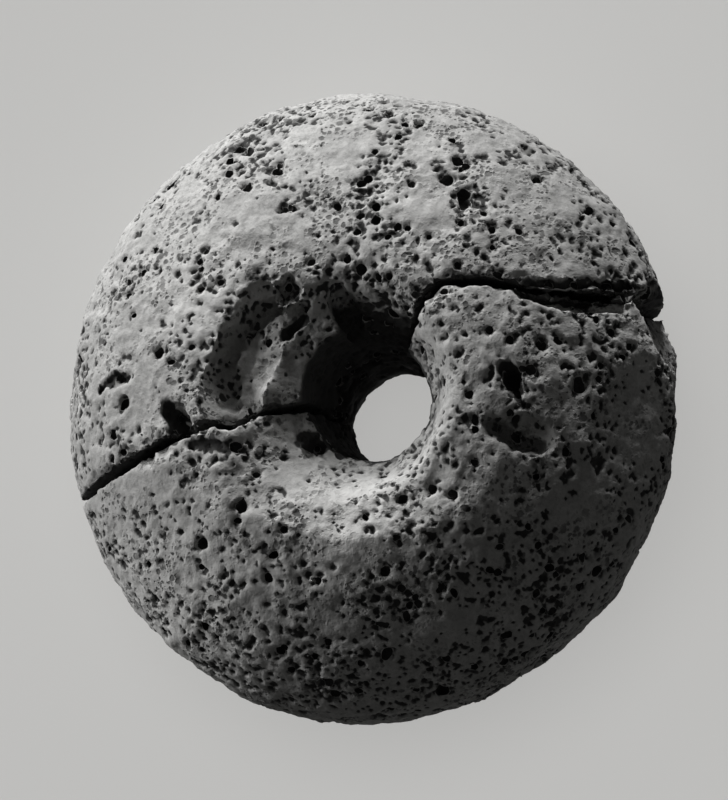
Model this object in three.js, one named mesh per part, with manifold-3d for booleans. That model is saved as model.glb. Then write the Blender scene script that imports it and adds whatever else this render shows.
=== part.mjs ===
// A ring-shaped spindle whorl of porous volcanic stone, broken right across and set together again.
// It lies flat on its worn underside, with the bore upright: +X right, +Y to the far half, +Z up.
// Lengths are in millimetres and angles in degrees, counted from +X towards +Y.

import * as THREE from 'three';
import { mergeVertices } from 'three/addons/utils/BufferGeometryUtils.js';
import Module from 'manifold-3d';

// Driving dimensions of the ring, before the break and the chips

const rimRadius = 31.8; // mean outer radius
const thickness = 28.0; // underside to crest
const rimHeight = 14.3; // where the ring is widest
const crestRadius = 12.5; // mean radius of the line on which the top face is highest

// How long the top face stays level from the crest, and how long the rim stays upright, before they bend into
// one another. Each is a share of the way, and 0.55 on both would be a quarter of an ellipse.

const shoulderFullness = { atCrest: 0.42, atRim: 0.5 };

const boreOffset = new THREE.Vector2(1.9, -0.3); // the bore stands a little off the ring's centre
const throatRadius = 4.95; // narrowest part of the bore, which opens both ways
const throatHeight = 9.0;
const mouthRadius = 6.25; // where the bore opens into the funnel

const footOuterRadius = 22.0; // worn flat ring that the whorl lies on
const footInnerRadius = 13.0;
const underFlareEase = 1.2; // how widely the bore opens into the underside

// Neither the outline nor the mouth is a true circle. Each swell is a cosine with so many lobes and a peak.

const rimSwells = [
  { lobes: 1, swell: 0.6, peakAt: 115 },
  { lobes: 2, swell: 0.5, peakAt: 100 },
  { lobes: 3, swell: 0.2, peakAt: 10 },
];
const crestWanders = [{ lobes: 1, swell: 1.8, peakAt: 205 }];
const crestSwells = [
  { lobes: 1, swell: 0.25, peakAt: 200 },
  { lobes: 2, swell: 0.2, peakAt: 30 },
];
const mouthSwells = [
  { lobes: 1, swell: 0.9, peakAt: 265 },
  { lobes: 2, swell: 0.45, peakAt: 305 },
];

// The worn funnel between the bore's mouth and the crest. The mouth lies a drop below the crest, the funnel
// leaves it over a run and a rise, and meets the crest after a level lead.
// The near half has one easy funnel. The far half has a high ledge on its left and a steep wall on its right,
// each over a part of the turn and fading at its ends.

const easyFunnel = { mouthDrop: 4.6, widening: 0, run: 2.6, rise: 1.9, crestLead: 2.6 };
const highLedge = {
  sizes: { mouthDrop: 2.8, widening: 0.1, run: 3.6, rise: 0.6, crestLead: 3.0 },
  middleAt: 156,
  halfWidth: 47,
  fade: 7,
};
const steepWall = {
  sizes: { mouthDrop: 8.0, widening: 0.4, run: 2.6, rise: 5.6, crestLead: 2.6 },
  middleAt: 70,
  halfWidth: 39,
  fade: 7,
};
const flakedFunnels = [highLedge, steepWall];

// The break runs right across the ring and through the bore, and leans a little

const breakGap = 0.35; // between the halves, deep in the stone
const breakMouthGap = 0.8; // where its worn edges meet the top face
const breakMouthDepth = 2.2; // how far down the edges are worn
const breakLean = 2.4; // how far the break has moved to the far side at the underside
const breakRoute = [
  [-28.1, -10.2],
  [-22.6, -8.4],
  [-17.7, -5.9],
  [-15.1, -5.3],
  [-12.6, -4.6],
  [-10.8, -4.8],
  [-8.4, -3.1],
  [-4.2, -2.3],
  [0.0, -0.8],
  [3.2, 1.2],
  [5.2, 3.4],
  [7.2, 6.0],
  [9.9, 9.0],
  [16.3, 8.8],
  [22.0, 8.3],
  [26.3, 8.3],
  [29.6, 9.6],
];
const breakRunOut = 6.0; // how far the cut goes on past the rim

// Flats on the rim, where flakes have come off. Each faces outwards at an angle, leans down by another (or
// up, if below zero), and is let in by its depth.

const rimFlats = [
  { azimuth: 357, lean: 14, depth: 0.8 },
  { azimuth: 350, lean: -38, depth: 0.8 },
  { azimuth: 337, lean: 12, depth: 0.7 },
  { azimuth: 309, lean: 10, depth: 0.7 },
  { azimuth: 284, lean: 16, depth: 0.3 },
  { azimuth: 231, lean: 12, depth: 1.1 },
];

// Scoops and pits, each an ellipsoid let into the top. It stands at an angle, and out by a share of the way
// from the bore's axis to the rim. Its length lies along the turn angle and its width across it. Its depth is
// how deep it bites.

const hollows = {
  far: {
    scoop: { at: 164, out: 0.37, length: 15, width: 8, depth: 1.5, turn: 73, tip: 14 },
    scoopEnd: { at: 186, out: 0.4, length: 9, width: 7.4, depth: 1.9, turn: 92, tip: 14 },
    pitOnTheLedge: { at: 137, out: 0.292, length: 4.4, width: 1.6, depth: 1.1, turn: 46 },
    funnelGroove: { at: 106, out: 0.24, length: 8, width: 2.4, depth: 1.7, turn: 106 },
    pitOnTheBreak: { at: 194, out: 0.56, length: 4.6, width: 2, depth: 2.6, turn: -62 },
    slotOnTheLeft: { at: 178, out: 0.76, length: 3.8, width: 0.9, depth: 1, turn: 22 },
    slotOnTheRim: { at: 119, out: 0.985, length: 6, width: 0.9, depth: 0.8, turn: 30 },
    chipAtTheBack: { at: 57, out: 0.93, length: 1.8, width: 1.3, depth: 0.8, turn: 110 },
    wornCorner: { at: 20.5, out: 1, length: 9, width: 2.6, depth: 0.9, turn: 20.5 },
  },
  near: {
    pitAtTheLip: { at: 228, out: 0.24, length: 2.6, width: 1.8, depth: 1.4, turn: 40 },
    roundPit: { at: 357, out: 0.52, length: 3, width: 1.6, depth: 1.6, turn: -70 },
    flakeScar: { at: 341, out: 0.6, length: 6.6, width: 3.4, depth: 1.3, turn: -20 },
    lostSliver: { at: 20.2, out: 0.75, length: 13, width: 2.2, depth: 2.6, turn: 0 },
    lostCorner: { at: 19, out: 1, length: 6.8, width: 7, depth: 10, turn: 19, isUpright: true },
    facetByTheCorner: { at: 15, out: 1, length: 4.6, width: 11.6, depth: 9, turn: 15, isUpright: true },
  },
};

// Mesh steps

const stepsRound = 84;
const sectionSteps = { bore: 4, funnel: 7, topShoulder: 9, lowShoulder: 7, foot: 1, flare: 4 };
const stepsPerRoutePoint = 2;
const breakLevels = 8;
const hollowSteps = { round: 14, down: 9 };

const wasm = await Module();
wasm.setup();

const { degToRad, radToDeg, lerp, clamp, smoothstep, euclideanModulo } = THREE.MathUtils;

function around(azimuth, mean, swells) {
  const swellOf = ({ lobes, swell, peakAt }) => swell * Math.cos(lobes * degToRad(azimuth - peakAt));
  return swells.reduce((sum, entry) => sum + swellOf(entry), mean);
}

function angleBetween(a, b) {
  return Math.abs(euclideanModulo(a - b + 180, 360) - 180);
}

// The funnel's sizes at one angle: the easy funnel, moved towards each flaked one by the share it has there.

function funnelAt(azimuth, isFlaked) {
  const funnel = { ...easyFunnel };
  for (const flaked of isFlaked ? flakedFunnels : []) {
    const away = angleBetween(azimuth, flaked.middleAt);
    const share = 1 - smoothstep(away, flaked.halfWidth - flaked.fade, flaked.halfWidth + flaked.fade);
    for (const size of Object.keys(easyFunnel)) {
      funnel[size] += share * (flaked.sizes[size] - easyFunnel[size]);
    }
  }
  return funnel;
}

// The cross-section at one angle, as a closed loop of radius and height. It is drawn up the bore, over the
// crest, round the rim and back under the foot. It is handed over the other way round, so that its faces look
// out.

function sectionAt(azimuth, isFlaked) {
  const funnel = funnelAt(azimuth, isFlaked);
  const throat = new THREE.Vector2(throatRadius, throatHeight);
  const mouthHere = around(azimuth, mouthRadius, mouthSwells) + funnel.widening;
  const mouth = new THREE.Vector2(mouthHere, thickness - funnel.mouthDrop);
  const crestHere = around(azimuth, crestRadius, crestWanders);
  const crest = new THREE.Vector2(crestHere, around(azimuth, thickness, crestSwells));
  const rim = new THREE.Vector2(around(azimuth, rimRadius, rimSwells), rimHeight);
  const footOuter = new THREE.Vector2(footOuterRadius, 0);
  const footInner = new THREE.Vector2(footInnerRadius, 0);
  const afterMouth = new THREE.Vector2(mouth.x + funnel.run, mouth.y + funnel.rise);
  const beforeCrest = new THREE.Vector2(crest.x - funnel.crestLead, crest.y);
  const flareBend = new THREE.Vector2(throat.x + underFlareEase, 0);
  const afterCrest = new THREE.Vector2(lerp(crest.x, rim.x, shoulderFullness.atCrest), crest.y);
  const beforeRim = new THREE.Vector2(rim.x, lerp(rim.y, crest.y, shoulderFullness.atRim));
  const lowWidth = rim.x - footOuter.x;

  const curves = [
    [new THREE.LineCurve(throat, mouth), sectionSteps.bore],
    [new THREE.CubicBezierCurve(mouth, afterMouth, beforeCrest, crest), sectionSteps.funnel],
    [new THREE.CubicBezierCurve(crest, afterCrest, beforeRim, rim), sectionSteps.topShoulder],
    [
      new THREE.EllipseCurve(footOuter.x, rim.y, lowWidth, rim.y, 0, -Math.PI / 2, true),
      sectionSteps.lowShoulder,
    ],
    [new THREE.LineCurve(footOuter, footInner), sectionSteps.foot],
    [new THREE.QuadraticBezierCurve(footInner, flareBend, throat), sectionSteps.flare],
  ];
  const drawn = [throat, ...curves.flatMap(([curve, steps]) => curve.getPoints(steps).slice(1))];
  return drawn.reverse();
}

// Moves a point of a section round to its angle. The bore's offset is full at the throat, none at the rim.

function placed(azimuth, radius, height) {
  const turn = degToRad(azimuth);
  const inward = clamp((rimRadius - radius) / (rimRadius - throatRadius), 0, 1);
  return new THREE.Vector3(
    radius * Math.cos(turn) + boreOffset.x * inward,
    radius * Math.sin(turn) + boreOffset.y * inward,
    height,
  );
}

// Height of the top face at a radius, with the slope there as the tangent of an angle.

function topAt(azimuth, radius, isFlaked) {
  const section = sectionAt(azimuth, isFlaked).reverse();
  const topSteps = sectionSteps.bore + sectionSteps.funnel + sectionSteps.topShoulder;
  const top = section.slice(sectionSteps.bore, topSteps + 1);
  const beyond = top.findIndex((point) => point.x >= radius);
  const next = beyond < 0 ? top.length - 1 : Math.max(beyond, 1);
  const [inner, outer] = [top[next - 1], top[next]];
  const share = clamp((radius - inner.x) / (outer.x - inner.x), 0, 1);
  return { height: lerp(inner.y, outer.y, share), slope: (outer.y - inner.y) / (outer.x - inner.x) };
}

// A turned ring first, then each station of the turning takes its own section.

function ringGeometry(isFlaked) {
  const geometry = new THREE.LatheGeometry(sectionAt(0, isFlaked), stepsRound);
  const position = geometry.attributes.position;
  const pointsInSection = position.count / (stepsRound + 1);
  for (let station = 0; station <= stepsRound; station++) {
    const azimuth = (360 * (station % stepsRound)) / stepsRound;
    sectionAt(azimuth, isFlaked).forEach((point, row) => {
      const { x, y, z } = placed(azimuth, point.x, point.y);
      position.setXYZ(station * pointsInSection + row, x, y, z);
    });
  }
  return geometry;
}

// Everything on one side of the break: a box whose inner face follows the break. Seen from above, the break
// is a smooth curve through its route. It opens towards the top face, where its edges are worn.

function sideOfBreakGeometry(side) {
  const reach = rimRadius + breakRunOut;
  const [first, last] = [breakRoute[0], breakRoute.at(-1)];
  const route = new THREE.SplineCurve(
    [[-reach, first[1] - 2], ...breakRoute, [reach, last[1] + 1]].map((pair) => new THREE.Vector2(...pair)),
  );
  const stepsAlong = (route.points.length - 1) * stepsPerRoutePoint;
  const geometry = new THREE.BoxGeometry(1, 1, 1, stepsAlong, 1, breakLevels);
  const position = geometry.attributes.position;
  const point = new THREE.Vector3();
  for (let i = 0; i < position.count; i++) {
    point.fromBufferAttribute(position, i);
    const along = clamp(point.x + 0.5, 0, 1);
    const onRoute = route.getPoint(along);
    const tangent = route.getTangent(along);
    const inBore = onRoute.clone().sub(boreOffset);
    const top = topAt(radToDeg(inBore.angle()), inBore.length(), side > 0).height;
    const height = lerp(-breakRunOut, thickness + breakRunOut, point.z + 0.5);
    const wear = smoothstep(height, top - breakMouthDepth, top);
    const halfGap = lerp(breakGap, breakMouthGap, wear) / 2;
    const lean = breakLean * (1 - height / thickness);
    const isInnerFace = point.y * side < 0;
    position.setXYZ(
      i,
      isInnerFace ? onRoute.x - tangent.y * side * halfGap : onRoute.x,
      isInnerFace ? onRoute.y + lean + tangent.x * side * halfGap : side * reach * 2,
      height,
    );
  }
  return geometry;
}

// An ellipsoid centred on the top face. It is turned to the slope there, unless it is upright. A tip lowers its
// inner side further.

function hollowGeometry({ at, out, length, width, depth, turn, tip = 0, isUpright = false }, isFar) {
  const radius = out * around(at, rimRadius, rimSwells);
  const { height, slope } = topAt(at, radius, isFar);
  const geometry = new THREE.SphereGeometry(1, hollowSteps.round, hollowSteps.down);
  geometry.scale(length / 2, width / 2, depth);
  geometry.rotateZ(degToRad(turn - at));
  geometry.rotateY(isUpright ? 0 : -Math.atan(slope) - degToRad(tip));
  geometry.rotateZ(degToRad(at));
  const { x, y, z } = placed(at, radius, height);
  return geometry.translate(x, y, z);
}

// A block with one face on the flat, so that it takes off everything outside.

function rimFlatGeometry({ azimuth, lean, depth }) {
  const facing = new THREE.Vector2(Math.cos(degToRad(lean)), -Math.sin(degToRad(lean)));
  const rimMiddle = new THREE.Vector2(0, rimHeight);
  const section = sectionAt(azimuth, false);
  const reach = Math.max(...section.map((point) => point.sub(rimMiddle).dot(facing)));
  const size = rimRadius * 2;
  const geometry = new THREE.BoxGeometry(size, size, size);
  geometry.translate(reach - depth + size / 2, 0, 0);
  geometry.rotateY(degToRad(lean));
  geometry.rotateZ(degToRad(azimuth));
  return geometry.translate(0, 0, rimHeight);
}

function solidFrom(geometry) {
  const bare = new THREE.BufferGeometry();
  bare.setAttribute('position', geometry.attributes.position);
  bare.setIndex(geometry.index);
  const merged = mergeVertices(bare, 1e-4);
  return new wasm.Manifold(
    new wasm.Mesh({
      numProp: 3,
      vertProperties: merged.attributes.position.array,
      triVerts: new Uint32Array(merged.index.array),
    }),
  );
}

function geometryFrom(solid) {
  const { vertProperties, triVerts } = solid.getMesh();
  const geometry = new THREE.BufferGeometry();
  geometry.setAttribute('position', new THREE.BufferAttribute(new Float32Array(vertProperties), 3));
  geometry.setIndex(new THREE.BufferAttribute(new Uint32Array(triVerts), 1));
  return geometry;
}

function halfSolid(half) {
  const isFar = half === 'far';
  let solid = solidFrom(ringGeometry(isFar));
  for (const flat of rimFlats) solid = solid.subtract(solidFrom(rimFlatGeometry(flat)));
  solid = solid.intersect(solidFrom(sideOfBreakGeometry(isFar ? 1 : -1)));
  for (const hollow of Object.values(hollows[half])) {
    solid = solid.subtract(solidFrom(hollowGeometry(hollow, isFar)));
  }
  return solid;
}

// Both halves stand about the middle of the whole footprint.

const halves = { far: halfSolid('far'), near: halfSolid('near') };
const bounds = Object.values(halves).map((solid) => solid.boundingBox());
const middle = [0, 1].map((axis) => {
  const low = Math.min(...bounds.map(({ min }) => min[axis]));
  const high = Math.max(...bounds.map(({ max }) => max[axis]));
  return (low + high) / 2;
});

const group = new THREE.Group();
for (const [half, solid] of Object.entries(halves)) {
  const stone = new THREE.MeshStandardMaterial({ color: 0x8a8a87, roughness: 0.95, metalness: 0 });
  const mesh = new THREE.Mesh(geometryFrom(solid), stone);
  mesh.name = `whorl_${half}_half`;
  mesh.position.set(-middle[0], -middle[1], 0);
  group.add(mesh);
}

export default group;
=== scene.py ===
# A stone spindle whorl: a thick ring of porous grey lava, broken in two across its bore and set together again.
# Lengths below are in millimetres unless a name says otherwise, and become metres where they meet Blender.
import math

import bmesh
import bpy
import numpy as np
from mathutils import Matrix, Vector, kdtree, noise
from mathutils.bvhtree import BVHTree


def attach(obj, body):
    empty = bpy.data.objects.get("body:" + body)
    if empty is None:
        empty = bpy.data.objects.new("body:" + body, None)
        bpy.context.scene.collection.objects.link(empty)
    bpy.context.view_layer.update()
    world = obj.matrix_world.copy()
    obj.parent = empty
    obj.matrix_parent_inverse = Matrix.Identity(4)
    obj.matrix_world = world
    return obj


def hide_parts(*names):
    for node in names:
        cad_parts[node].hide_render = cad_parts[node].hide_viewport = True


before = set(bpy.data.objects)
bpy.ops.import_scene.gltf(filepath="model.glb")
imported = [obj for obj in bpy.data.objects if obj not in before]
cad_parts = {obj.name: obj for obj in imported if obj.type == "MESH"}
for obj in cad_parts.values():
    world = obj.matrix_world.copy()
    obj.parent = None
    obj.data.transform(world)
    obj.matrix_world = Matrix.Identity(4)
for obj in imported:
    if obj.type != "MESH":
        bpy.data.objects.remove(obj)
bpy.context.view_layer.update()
mm = 0.001


# Camera, looking down at the ring from its right front, and rolled so that the break runs across the picture

camera = {"azimuth": 45.0, "elevation": 70.0, "distance": 600.0, "pictureHeight": 80.0, "aimHeight": 14.0,
          "aimRight": -0.81, "aimUp": 0.46}


def cameraAxes(azimuth, elevation):
    a, e = math.radians(azimuth), math.radians(elevation)
    back = Vector((math.sin(a) * math.cos(e), -math.cos(a) * math.cos(e), math.sin(e)))
    across = Vector((math.cos(a), math.sin(a), 0))
    upward = back.cross(across)
    return (across - upward) / math.sqrt(2), (across + upward) / math.sqrt(2), back  # rolled by an eighth of a turn


def makeCamera(c):
    right, up, back = cameraAxes(c["azimuth"], c["elevation"])
    aim = Vector((0, 0, c["aimHeight"])) + right * c["aimRight"] + up * c["aimUp"]
    data = bpy.data.cameras.new("camera")
    data.sensor_width = 36.0
    data.lens = data.sensor_width * c["distance"] / c["pictureHeight"]
    data.clip_start, data.clip_end = 0.01, 10.0
    holder = bpy.data.objects.new("camera", data)
    bpy.context.scene.collection.objects.link(holder)
    turn = Matrix((right, up, back)).transposed().to_4x4()
    holder.matrix_world = Matrix.Translation((aim + back * c["distance"]) * mm) @ turn
    bpy.context.scene.camera = holder


makeCamera(camera)
print("camera ready")


# Stone's surface, in nodes: mottled grey skin with fine pores and grit, painted highlight and shade, and painted shade
# on the walls inside the open pores

# the lightest colour is a painted highlight, and the darkest is painted shade for pores, pits, scars, the bore and the
# break
skin = {"light": 0.54, "dark": 0.38, "worn": 0.70, "roughness": 0.93, "paintedShadeColour": 0.035}
# the open pores' walls are painted dark, as painted shade inside them
poreWall = {"light": 0.10, "dark": 0.03, "roughness": 0.97}


def addNode(tree, kind, values=None, **settings):
    made = tree.nodes.new(kind)
    for key, value in settings.items():
        setattr(made, key, value)
    for key, value in (values or {}).items():
        join(tree, made.inputs[key], value)
    return made


def join(tree, socket, value):
    if isinstance(value, bpy.types.NodeSocket):
        tree.links.new(value, socket)
    else:
        socket.default_value = value


def grey(level):
    return (level, level * 0.995, level * 0.975, 1.0)


def ramp(tree, value, low, high, lowLevel=0.0, highLevel=1.0):
    made = addNode(tree, "ShaderNodeMapRange", {"Value": value, "From Min": low, "From Max": high,
                                                "To Min": lowLevel, "To Max": highLevel},
                   interpolation_type="SMOOTHSTEP")
    return made.outputs["Result"]


def noiseAt(tree, place, size, detail=3.0, roughness=0.55):
    made = addNode(tree, "ShaderNodeTexNoise", {"Vector": place, "Scale": 1.0 / size, "Detail": detail,
                                                "Roughness": roughness})
    return made.outputs["Fac"]


def calc(tree, operation, a, b):
    made = addNode(tree, "ShaderNodeMath", operation=operation)
    join(tree, made.inputs[0], a)
    join(tree, made.inputs[1], b)
    return made.outputs["Value"]


def blended(tree, share, a, b):
    made = addNode(tree, "ShaderNodeMix", data_type="RGBA")
    for socket, value in zip((made.inputs[0], made.inputs[6], made.inputs[7]), (share, a, b)):
        join(tree, socket, value)
    return made.outputs[2]


def unevenPlace(tree, place, size, reach):
    # shakes the place about, so that what is drawn there has no clean outline
    shake = addNode(tree, "ShaderNodeTexNoise", {"Vector": place, "Scale": 1.0 / size, "Detail": 2.0})
    centred = addNode(tree, "ShaderNodeVectorMath", {0: shake.outputs["Color"], 1: (0.5, 0.5, 0.5)},
                      operation="SUBTRACT")
    scaled = addNode(tree, "ShaderNodeVectorMath", {0: centred.outputs["Vector"], "Scale": 2.0 * reach},
                     operation="SCALE")
    moved = addNode(tree, "ShaderNodeVectorMath", {0: place, 1: scaled.outputs["Vector"]}, operation="ADD")
    return moved.outputs["Vector"]


def finePores(tree, place, cell, largest):
    # bubbles too small to model: each cell of the pattern holds one, of its own size, deepest in its middle
    cells = addNode(tree, "ShaderNodeTexVoronoi", {"Vector": place, "Scale": 1.0 / cell, "Randomness": 1.0},
                    feature="F1")
    chance = addNode(tree, "ShaderNodeSeparateColor", {"Color": cells.outputs["Color"]}).outputs["Red"]
    size = calc(tree, "MULTIPLY", calc(tree, "POWER", chance, 2.0), largest / cell)
    inside = calc(tree, "SUBTRACT", size, cells.outputs["Distance"])
    return ramp(tree, inside, -0.10, 0.24)


def stoneMaterial(name, finish, isSkin):
    material = bpy.data.materials.new(name)
    material.use_nodes = True
    tree = material.node_tree
    shader = tree.nodes["Principled BSDF"]
    where = addNode(tree, "ShaderNodeTexCoord").outputs["Object"]
    place = addNode(tree, "ShaderNodeVectorMath", {0: where, "Scale": 1.0 / mm}, operation="SCALE").outputs["Vector"]

    mottle = noiseAt(tree, place, 9.0, 5.0, 0.6)
    patch = noiseAt(tree, place, 2.0, 4.0, 0.65)
    speck = noiseAt(tree, place, 0.38, 3.0, 0.7)
    grain = noiseAt(tree, place, 0.95, 4.0, 0.6)
    tone = calc(tree, "ADD", calc(tree, "MULTIPLY", mottle, 0.4), calc(tree, "MULTIPLY", patch, 0.6))
    colour = blended(tree, ramp(tree, tone, 0.36, 0.62), grey(finish["dark"]), grey(finish["light"]))
    colour = blended(tree, ramp(tree, speck, 0.32, 0.56, 0.4, 0.0), colour, grey(finish["dark"] * 0.55))
    height = calc(tree, "ADD", calc(tree, "MULTIPLY", speck, 0.5), calc(tree, "MULTIPLY", grain, 0.9))
    if isSkin:
        uneven = unevenPlace(tree, place, 0.5, 0.16)
        holes = calc(tree, "MAXIMUM", finePores(tree, uneven, 0.72, 0.50), finePores(tree, uneven, 0.42, 0.34))
        crowded = ramp(tree, noiseAt(tree, place, 4.5, 2.0), 0.42, 0.62, 0.08, 1.0)
        holes = calc(tree, "MULTIPLY", holes, crowded)
        # painted highlight: soft spots of the skin are painted lighter
        paintedHighlightShare = addNode(tree, "ShaderNodeAttribute", attribute_name="paintedHighlightShare").outputs["Fac"]
        colour = blended(tree, paintedHighlightShare, colour, grey(finish["worn"]))
        # painted shade: the fine pores are painted as dark spots
        colour = blended(tree, calc(tree, "MULTIPLY", holes, 0.72), colour, grey(finish["paintedShadeColour"]))
        height = calc(tree, "SUBTRACT", height, calc(tree, "MULTIPLY", holes, 1.3))
        edges = addNode(tree, "ShaderNodeNewGeometry").outputs["Pointiness"]
        colour = blended(tree, ramp(tree, edges, 0.51, 0.60, 0.0, 0.25), colour, grey(finish["light"] * 1.25))
        # painted shade: the pit attribute paints pits, chips, scars, the bore and the break dark
        pit = addNode(tree, "ShaderNodeAttribute", attribute_name="pit").outputs["Fac"]
        colour = blended(tree, ramp(tree, pit, 0.08, 0.60, 0.0, 0.95), colour, grey(finish["paintedShadeColour"]))
    tree.links.new(colour, shader.inputs["Base Color"])
    rough = ramp(tree, patch, 0.3, 0.7, finish["roughness"] - 0.07, min(1.0, finish["roughness"] + 0.05))
    tree.links.new(rough, shader.inputs["Roughness"])
    shader.inputs["Specular IOR Level"].default_value = 0.25
    bump = addNode(tree, "ShaderNodeBump", {"Strength": 0.75, "Distance": 0.15 * mm, "Height": height})
    tree.links.new(bump.outputs["Normal"], shader.inputs["Normal"])
    return material


stone = {"skin": stoneMaterial("stoneSkin", skin, True), "pore": stoneMaterial("stonePores", poreWall, False)}
print("stone materials ready")


# Stone's shape. Both halves are moved by one warp, so the break stays open by the same amount along its length.

warp = {"coarseSize": 7.0, "coarseReach": 0.30, "fineSize": 2.3, "fineReach": 0.16}
grit = {"lumpSize": 3.2, "lumpDepth": 0.26, "grainSize": 0.9, "grainDepth": 0.13, "breakReach": 0.9}


def warped(p):
    coarse = noise.noise_vector(p / warp["coarseSize"]) * warp["coarseReach"]
    return coarse + noise.noise_vector(p / warp["fineSize"] + Vector((31, 7, 3))) * warp["fineReach"]


def newObject(name, mesh):
    made = bpy.data.objects.new(name, mesh)
    bpy.context.scene.collection.objects.link(made)
    return made


def settled(piece):
    # the mesh with its modifiers made real
    graph = bpy.context.evaluated_depsgraph_get()
    mesh = bpy.data.meshes.new_from_object(piece.evaluated_get(graph))
    piece.modifiers.clear()
    old, piece.data = piece.data, mesh
    bpy.data.meshes.remove(old)
    return mesh


def remeshed(half):
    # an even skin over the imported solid
    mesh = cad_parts[half["node"]].data.copy()
    b = bmesh.new()
    b.from_mesh(mesh)
    bmesh.ops.remove_doubles(b, verts=b.verts, dist=0.002 * mm)
    b.to_mesh(mesh)
    b.free()
    mesh.materials.clear()
    mesh.name = half["name"]
    piece = newObject(half["name"], mesh)
    even = piece.modifiers.new("even", "REMESH")
    even.mode, even.voxel_size, even.use_smooth_shade = "VOXEL", half["voxel"] * mm, True
    ease = piece.modifiers.new("ease", "SMOOTH")
    ease.factor, ease.iterations = 0.5, 2
    settled(piece)
    return piece


def treeOf(mesh):
    b = bmesh.new()
    b.from_mesh(mesh)
    tree = BVHTree.FromBMesh(b)
    b.free()
    return tree


def roughen(mesh, otherTree):
    # warps the stone and eats into it by lumps and grain; beside the break it is only ever eaten away
    normals = [v.normal.copy() for v in mesh.vertices]
    places, nearBreak = [], []
    for vertex, normal in zip(mesh.vertices, normals):
        p = vertex.co / mm
        lump = noise.noise(p / grit["lumpSize"] + Vector((5, 11, 2)))
        grain = noise.fractal(p / grit["grainSize"], 0.6, 2.1, 2)
        bite = grit["lumpDepth"] * (0.35 + 0.65 * lump) + grit["grainDepth"] * (0.4 + grain)
        nearBreak.append(otherTree.find_nearest(vertex.co, grit["breakReach"] * mm)[3] is not None)
        if nearBreak[-1]:
            bite = max(bite, 0.0)
        moved = p + warped(p) - normal * bite
        moved.z = max(moved.z, 0.0) if p.z > 0.15 else max(moved.z, 0.0) * 0.5
        places.append(moved * mm)
    mesh.vertices.foreach_set("co", np.array(places, np.float32).ravel())
    mesh.update()
    return np.array(nearBreak)


# Pits. Gas bubbles in the lava, opened and worn by the surface: many small, few large, crowded in patches.
# All are pressed into the skin, and those of cutFrom and more in radius are also hollowed out behind their mouths.

pits = {"tiny": {"count": 3600, "low": 0.16, "high": 0.27, "depth": 1.3},
        "small": {"count": 1050, "low": 0.25, "high": 0.42, "depth": 1.25},
        "large": {"count": 110, "low": 0.40, "high": 0.75, "depth": 1.1}}
cutFrom = 0.37
pitShape = {"uneven": 0.45, "stretch": 0.7, "mouthShare": 1.25}
chips = {"count": 70, "low": 0.3, "high": 0.8}

# pits that stand out in the photograph: place from above, radius, and how far drawn out
notablePits = [(-18.7, 2.8, 0.5, 1.3), (-17.3, 1.6, 0.4, 1.2), (-6.4, 17.0, 0.45, 1.2), (-10.8, 20.1, 0.5, 1.7),
               (-20.4, 14.1, 0.4, 1.1), (-23.3, 11.1, 0.4, 1.2), (18.1, 20.5, 0.5, 1.3), (20.0, 2.5, 0.6, 1.1),
               (17.0, 2.6, 0.45, 1.3), (9.5, -11.9, 0.6, 1.0), (11.6, -12.6, 0.5, 1.2), (12.0, 1.2, 0.35, 1.0)]
cutBatches = 8


def randomTurn(dice):
    q = dice.normal(size=4)
    w, x, y, z = q / np.linalg.norm(q)
    return np.array([[1 - 2 * (y * y + z * z), 2 * (x * y - z * w), 2 * (x * z + y * w)],
                     [2 * (x * y + z * w), 1 - 2 * (x * x + z * z), 2 * (y * z - x * w)],
                     [2 * (x * z - y * w), 2 * (y * z + x * w), 1 - 2 * (x * x + y * y)]])


def skinOf(mesh):
    # places, in millimetres, and normals of the points
    n = len(mesh.vertices)
    places, normals = np.zeros(n * 3), np.zeros(n * 3)
    mesh.vertices.foreach_get("co", places)
    mesh.vertices.foreach_get("normal", normals)
    return places.reshape(-1, 3) / mm, normals.reshape(-1, 3)


def pitDensity(places, normals):
    # crowded patches, more on the near and right side, fewer on the far left and on the underside
    patches = np.array([noise.noise(Vector(p) / 5.5) + 0.5 * noise.noise(Vector(p) / 2.4) for p in places])
    side = np.clip(0.5 - (places[:, 1] - 0.6 * places[:, 0]) / 60.0, 0.0, 1.0)
    density = np.clip(0.22 + 0.55 * side + 1.25 * patches, 0.04, None)
    return density * np.where(normals[:, 2] < -0.6, 0.5, 1.0)


def breakChips(places, normals, nearBreak, dice):
    # crumbs lost from the break's upper edges
    edge = np.flatnonzero(nearBreak & (normals[:, 2] > 0.35))
    made = []
    for point in dice.choice(edge, chips["count"]):
        radius = dice.uniform(chips["low"], chips["high"])
        made.append({"point": point, "radius": radius, "depth": radius * dice.uniform(0.3, 0.7),
                     "stretch": dice.uniform(1.0, 2.0), "seed": dice.uniform(0, 50, 3), "dark": 0.25})
    return made


def scatterPits(places, normals, dice):
    chance = pitDensity(places, normals)
    chance /= chance.sum()
    made = []
    for x, y, radius, stretch in notablePits:
        above = np.where(normals[:, 2] > 0.2, 0.0, 99.0)
        point = np.argmin(np.hypot(places[:, 0] - x, places[:, 1] - y) + above)
        if math.hypot(places[point, 0] - x, places[point, 1] - y) < 0.5:
            made.append({"point": point, "radius": radius, "depth": radius * 1.5, "stretch": stretch,
                         "seed": dice.uniform(0, 50, 3), "dark": 1.0})
    for kind in pits.values():
        for point in dice.choice(len(places), kind["count"], p=chance):
            radius = kind["low"] + (kind["high"] - kind["low"]) * dice.random() ** 1.8
            made.append({"point": point, "radius": radius, "depth": radius * kind["depth"] * dice.uniform(0.7, 1.2),
                         "stretch": 1 + pitShape["stretch"] * dice.random() ** 2, "seed": dice.uniform(0, 50, 3),
                         "dark": 1.0})
    return made


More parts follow.
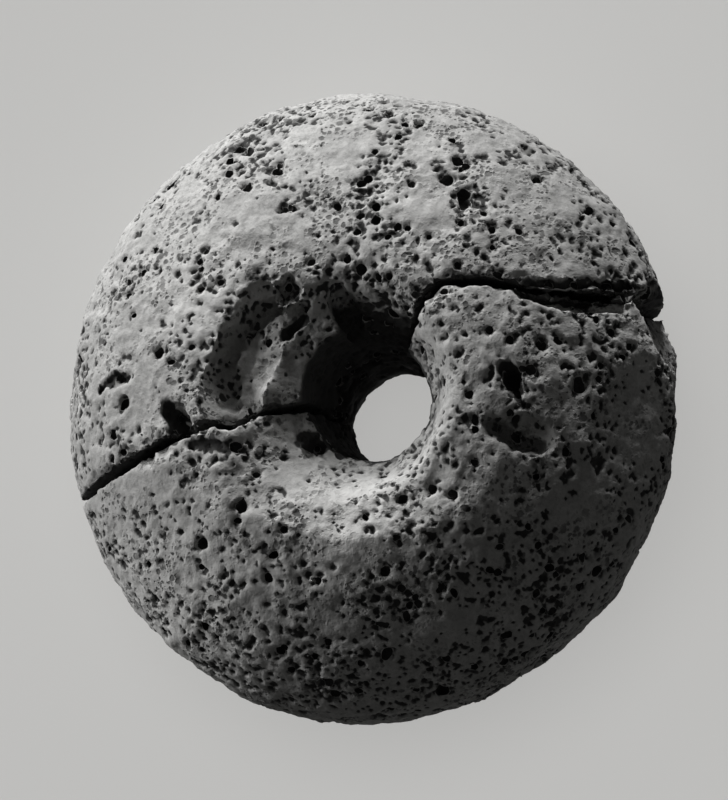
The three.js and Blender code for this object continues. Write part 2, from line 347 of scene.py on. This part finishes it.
def pressPits(mesh, made, dice):
    # pushes the skin in over each pit, deepest in its middle; the mask tells the material how deep a point lies, to
    # paint shade in the pit
    places, normals = skinOf(mesh)
    tree = kdtree.KDTree(len(places))
    for i, p in enumerate(places):
        tree.insert(p, i)
    tree.balance()
    sunk, mask = np.zeros(len(places)), np.zeros(len(places))
    for pit in made:
        centre, axis = places[pit["point"]], normals[pit["point"]]
        along = np.cross(axis, dice.normal(size=3))
        along /= np.linalg.norm(along) + 1e-9
        reach = pit["radius"] * pitShape["mouthShare"]
        found = [i for _, i, _ in tree.find_range(Vector(centre), reach * pit["stretch"])]
        away = places[found] - centre
        lengthwise = away @ along
        away = away - np.outer(lengthwise * (1 - 1 / pit["stretch"]), along)
        ragged = np.array([noise.noise(Vector(a / pit["radius"] + pit["seed"])) for a in away])
        share = np.linalg.norm(away, axis=1) / reach + pitShape["uneven"] * ragged
        depth = np.clip(1 - np.clip(share, 0, 1) ** 2, 0, 1) * (normals[found] @ axis > 0.2)
        sunk[found] = np.maximum(sunk[found], depth * pit["depth"])
        mask[found] = np.maximum(mask[found], depth * pit["dark"])
    mesh.vertices.foreach_set("co", ((places - normals * sunk[:, None]) * mm).astype(np.float32).ravel())
    mesh.update()
    return mask


# Scars: marks of the photograph that the imported solids have less sharply, or not. Each is a path seen from above,
# half its width, how deep it goes (below nothing it is raised), and how dark its bed is painted, as painted shade.

scars = {"scoopWall": {"path": [(-5.2, 8.7), (-8.6, 6.5), (-11.0, 4.1), (-12.0, 0.8), (-11.4, -2.4)], "width": 1.2,
                       "depth": 1.1, "dark": 0.28, "above": 20},
         "scoopLedge": {"path": [(-6.9, 4.6), (-7.5, 1.0), (-7.5, -1.6)], "width": 1.8, "depth": -0.9, "dark": 0.0,
                        "above": 20},
         "ridgeSlot": {"path": [(-5.8, 4.2), (-4.3, 5.9)], "width": 0.65, "depth": 0.9, "dark": 0.9, "above": 20},
         "lostSliver": {"path": [(17.8, 8.1), (22.5, 8.5), (26.6, 9.0)], "width": 1.1, "depth": 1.3, "dark": 0.75,
                        "above": 10},
         "sliverCrumb": {"path": [(18.3, 8.0), (20.4, 8.2)], "width": 0.4, "depth": -1.0, "dark": 0.0, "above": 10},
         "roundPit": {"path": [(16.8, -0.3), (17.0, -1.1)], "width": 1.0, "depth": 1.5, "dark": 1.0, "above": 20},
         "pitTail": {"path": [(17.3, -2.0), (18.3, -3.8)], "width": 0.36, "depth": 0.7, "dark": 0.9, "above": 20},
         "flake": {"path": [(15.6, -5.8), (17.2, -7.0), (19.4, -7.6)], "width": 1.1, "depth": 0.8, "dark": 0.4,
                   "above": 20},
         "breakPit": {"path": [(-17.4, -3.1), (-16.4, -5.2)], "width": 0.9, "depth": 1.6, "dark": 1.0, "above": 20},
         "leftSlot": {"path": [(-25.6, 0.0), (-23.6, 1.1), (-22.3, 0.5)], "width": 0.4, "depth": 0.7, "dark": 0.9,
                      "above": 18},
         "funnelPit": {"path": [(-4.1, -5.8), (-3.0, -6.5)], "width": 1.1, "depth": 0.6, "dark": 0.8, "above": 20},
         "belowBreak": {"path": [(-14.2, -7.0), (-11.2, -7.4)], "width": 0.7, "depth": 0.5, "dark": 0.7, "above": 20},
         "nearFunnel": {"path": [(-6.5, -9.5), (0.0, -11.8), (7.0, -11.0)], "width": 5.0, "depth": 0.9, "dark": 0.0,
                        "above": 20}}

bore = {"x": 1.95, "y": -0.65, "shadeRadius": 9.8, "top": 26.0, "dark": 0.75}
# painted highlight: soft round spots where the skin is painted lighter
worn = {"nearLip": {"at": (1.0, -14.5, 28.0), "reach": 8.0, "share": 0.8},
        "nearLeft": {"at": (-17.0, -20.0, 20.0), "reach": 9.0, "share": 0.7},
        "farLeft": {"at": (-14.0, 7.0, 27.0), "reach": 5.0, "share": 0.5},
        "farTop": {"at": (8.0, 16.0, 26.0), "reach": 7.0, "share": 0.5},
        "rightFacet": {"at": (30.3, 4.2, 18.0), "reach": 3.5, "share": 1.0}}
# painted shadow at the far right end of the break
paintedShadeSpots = {"breakEnd": {"at": (28.4, 9.6, 11.5), "reach": 2.6, "share": 1.2}}


def alongPath(places, path):
    # how far each place lies, from above, from the path
    nearest = np.full(len(places), 99.0)
    for start, end in zip(path[:-1], path[1:]):
        step = np.subtract(end, start)
        share = np.clip((places[:, :2] - start) @ step / (step @ step), 0, 1)
        gap = places[:, :2] - start - share[:, None] * step
        nearest = np.minimum(nearest, np.hypot(gap[:, 0], gap[:, 1]))
    return nearest


def pressScars(mesh):
    # the marks of the list below, pressed straight down into the top; returns how dark each is painted, as painted
    # shade
    places, normals = skinOf(mesh)
    sunk, dark = np.zeros(len(places)), np.zeros(len(places))
    for scar in scars.values():
        gap = alongPath(places, scar["path"])
        ragged = 0.45 * min(1.0, 1.0 / scar["width"])
        for i in np.flatnonzero((gap < scar["width"] * 1.4) & (normals[:, 2] > 0.1) & (places[:, 2] > scar["above"])):
            share = gap[i] / scar["width"] + ragged * noise.noise(Vector(places[i]) / 0.8)
            depth = max(0.0, 1 - max(share, 0.0) ** 2)
            sunk[i] += scar["depth"] * depth
            dark[i] = max(dark[i], scar["dark"] * min(1.0, 2 * depth))
    places[:, 2] -= sunk
    mesh.vertices.foreach_set("co", (places * mm).astype(np.float32).ravel())
    mesh.update()
    return dark


def shade(mesh, name, values):
    made = mesh.attributes.get(name) or mesh.attributes.new(name, "FLOAT", "POINT")
    made.data.foreach_set("value", values.astype(np.float32))


def boreShade(places, normals):
    # painted shade inside the bore, on its walls and far ledges, dark as it is in the photograph
    radius = np.hypot(places[:, 0] - bore["x"], places[:, 1] - bore["y"])
    inside = np.clip((bore["shadeRadius"] - radius) / 1.5, 0, 1) * np.clip((bore["top"] - places[:, 2]) / 2.0, 0, 1)
    wall = np.clip((0.75 - normals[:, 2]) / 0.3, 0, 1)
    farLedges = np.clip((24.8 - places[:, 2]) / 1.5, 0, 1) * np.clip((places[:, 1] - 1.5) / 2.0, 0, 1)
    return inside * np.maximum(wall, farLedges) * bore["dark"]


def inSpots(places, spots):
    # how far inside any of the soft round spots each place lies
    share = np.zeros(len(places))
    for spot in spots.values():
        away = np.linalg.norm(places - spot["at"], axis=1) / spot["reach"]
        share = np.maximum(share, spot["share"] * np.exp(-away ** 2))
    return np.minimum(share, 1.0)


def ballMesh():
    b = bmesh.new()
    bmesh.ops.create_icosphere(b, subdivisions=2, radius=1.0)
    points = np.array([v.co for v in b.verts])
    faces = np.array([[v.index for v in f.verts] for f in b.faces])
    b.free()
    return points, faces


ball = ballMesh()


def batched(cuts):
    # shares the cuts out so that no two in a batch touch
    batches = [[] for _ in range(cutBatches)]
    for cut in sorted(cuts, key=lambda entry: -entry["radius"]):
        for batch in batches:
            gaps = [np.linalg.norm(cut["centre"] - c["centre"]) - c["reach"].max() for c in batch]
            if not batch or min(gaps) > cut["reach"].max() * 1.05:
                batch.append(cut)
                break
    return [batch for batch in batches if batch]


def cutterMesh(batch, dice):
    points, faces = [], []
    for count, cut in enumerate(batch):
        dented = ball[0] * (1 + dice.uniform(-0.14, 0.14, (len(ball[0]), 1)))
        points.append((dented * cut["reach"]) @ randomTurn(dice).T + cut["centre"])
        faces.append(ball[1] + count * len(ball[0]))
    mesh = bpy.data.meshes.new("cutter")
    mesh.from_pydata((np.concatenate(points) * mm).tolist(), [], np.concatenate(faces).tolist())
    mesh.materials.append(stone["pore"])
    return mesh


def cutPits(piece, made, places, normals, dice):
    # hollows the larger pits out with dented balls that stand a little below the skin
    cuts = []
    for pit in made:
        centre, axis, radius = places[pit["point"]], normals[pit["point"]], pit["radius"]
        if radius >= cutFrom:
            reach = radius * np.array([pit["stretch"], 1.0, dice.uniform(0.75, 1.0)])
            cuts.append({"centre": centre - axis * radius * dice.uniform(0.75, 1.0), "reach": reach, "radius": radius})
    for batch in batched(cuts):
        mesh = cutterMesh(batch, dice)
        cutter = newObject("cutter", mesh)
        cut = piece.modifiers.new("cut", "BOOLEAN")
        cut.operation, cut.solver, cut.object = "DIFFERENCE", "MANIFOLD", cutter
        settled(piece)
        bpy.data.objects.remove(cutter)
        bpy.data.meshes.remove(mesh)
    return len(cuts)


def countTriangles(mesh):
    return sum(len(f.vertices) - 2 for f in mesh.polygons)


def thinned(piece, most):
    # merges the flattest faces until the mesh is light enough
    thin = piece.modifiers.new("thin", "DECIMATE")
    thin.ratio = min(1.0, most / countTriangles(piece.data))
    settled(piece)


# Far half, at the top of the picture, and near half, at the bottom

farHalf = {"node": "whorl_far_half", "name": "farHalf", "voxel": 0.29, "seed": 41, "triangles": 190000}
nearHalf = {"node": "whorl_near_half", "name": "nearHalf", "voxel": 0.29, "seed": 87, "triangles": 190000}
halves = (farHalf, nearHalf)

pieces = {half["name"]: remeshed(half) for half in halves}
trees = {name: treeOf(piece.data) for name, piece in pieces.items()}
print("halves remeshed:", [len(piece.data.polygons) for piece in pieces.values()])

for half, other in ((farHalf, nearHalf), (nearHalf, farHalf)):
    piece = pieces[half["name"]]
    piece.data.materials.append(stone["skin"])
    piece.data.materials.append(stone["pore"])
    nearBreak = roughen(piece.data, trees[other["name"]])
    scarred = pressScars(piece.data)
    dice = np.random.default_rng(half["seed"])
    places, normals = skinOf(piece.data)
    made = scatterPits(places, normals, dice)
    pitted = pressPits(piece.data, made + breakChips(places, normals, nearBreak, dice), dice)
    # painted shade on the break's steep walls, inside the bore and at the break's end
    breakWalls = nearBreak * np.clip((0.45 - normals[:, 2]) / 0.3, 0, 0.5)
    paintedShade = np.maximum.reduce([boreShade(places, normals), breakWalls, inSpots(places, paintedShadeSpots)])
    shade(piece.data, "pit", np.maximum.reduce([pitted, scarred, paintedShade]))
    # painted highlight from the soft spots
    shade(piece.data, "paintedHighlightShare", inSpots(places, worn))
    cuts = cutPits(piece, made, places, normals, dice)
    thinned(piece, half["triangles"])
    mesh = piece.data
    mesh.validate(clean_customdata=False)
    mesh.shade_smooth()
    mesh.set_sharp_from_angle(angle=math.radians(60))
    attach(piece, "root")
    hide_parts(half["node"])
    print(half["name"], "pits", len(made), "hollowed", cuts, "triangles", countTriangles(mesh))


# Floor and light: two soft lamps, low on the far left, so that the near right side stays dark

leftLamp = {"azimuth": 156.0, "elevation": 20.0, "distance": 500.0, "width": 260.0, "watts": 2.15}
farLamp = {"azimuth": 92.0, "elevation": 13.0, "distance": 500.0, "width": 170.0, "watts": 2.35}
fill = {"level": 0.045}
floor = {"size": 3.0, "level": 0.62, "roughness": 0.9}
floorLamp = {"height": 1.2, "width": 1.0, "watts": 13.0, "shadowShare": 0.10}


def lampAt(name, position, width, watts):
    data = bpy.data.lights.new(name, "AREA")
    data.shape, data.size, data.energy = "DISK", width, watts
    lamp = newObject(name, data)
    lamp.location = position
    lamp.rotation_mode = "QUATERNION"
    lamp.rotation_quaternion = Vector(position).to_track_quat("Z", "Y")
    return lamp


def group(name, members):
    made = bpy.data.collections.new(name)
    for member in members:
        made.objects.link(member)
    return made


def makeFloor(f):
    b = bmesh.new()
    bmesh.ops.create_grid(b, x_segments=1, y_segments=1, size=f["size"] / 2)
    mesh = bpy.data.meshes.new("floor")
    b.to_mesh(mesh)
    b.free()
    material = bpy.data.materials.new("paleFloor")
    material.use_nodes = True
    shader = material.node_tree.nodes["Principled BSDF"]
    shader.inputs["Base Color"].default_value = grey(f["level"])
    shader.inputs["Roughness"].default_value = f["roughness"]
    mesh.materials.append(material)
    made = newObject("floor", mesh)
    made.visible_diffuse = False  # keeps the stone's shaded side as dark as the lamp leaves it
    return made


def makeLight():
    ground = makeFloor(floor)
    stones, grounds = group("stones", list(pieces.values())), group("grounds", [ground])
    for name, lamp in (("leftLamp", leftLamp), ("farLamp", farLamp)):
        a, e = math.radians(lamp["azimuth"]), math.radians(lamp["elevation"])
        towards = Vector((math.cos(a) * math.cos(e), math.sin(a) * math.cos(e), math.sin(e)))
        soft = lampAt(name, towards * lamp["distance"] * mm, lamp["width"] * mm, lamp["watts"])
        soft.light_linking.receiver_collection = stones
    overhead = (0, 0, floorLamp["height"])
    even = lampAt("floorLamp", overhead, floorLamp["width"], floorLamp["watts"] * (1 - floorLamp["shadowShare"]))
    even.light_linking.receiver_collection = grounds
    even.light_linking.blocker_collection = grounds
    shaded = lampAt("shadowLamp", overhead, floorLamp["width"], floorLamp["watts"] * floorLamp["shadowShare"])
    shaded.light_linking.receiver_collection = grounds
    world = bpy.data.worlds.new("room")
    world.use_nodes = True
    world.node_tree.nodes["Background"].inputs["Color"].default_value = grey(1.0)
    world.node_tree.nodes["Background"].inputs["Strength"].default_value = fill["level"]
    bpy.context.scene.world = world
    bpy.context.scene.view_settings.view_transform = "Standard"


makeLight()
print("floor and light ready")
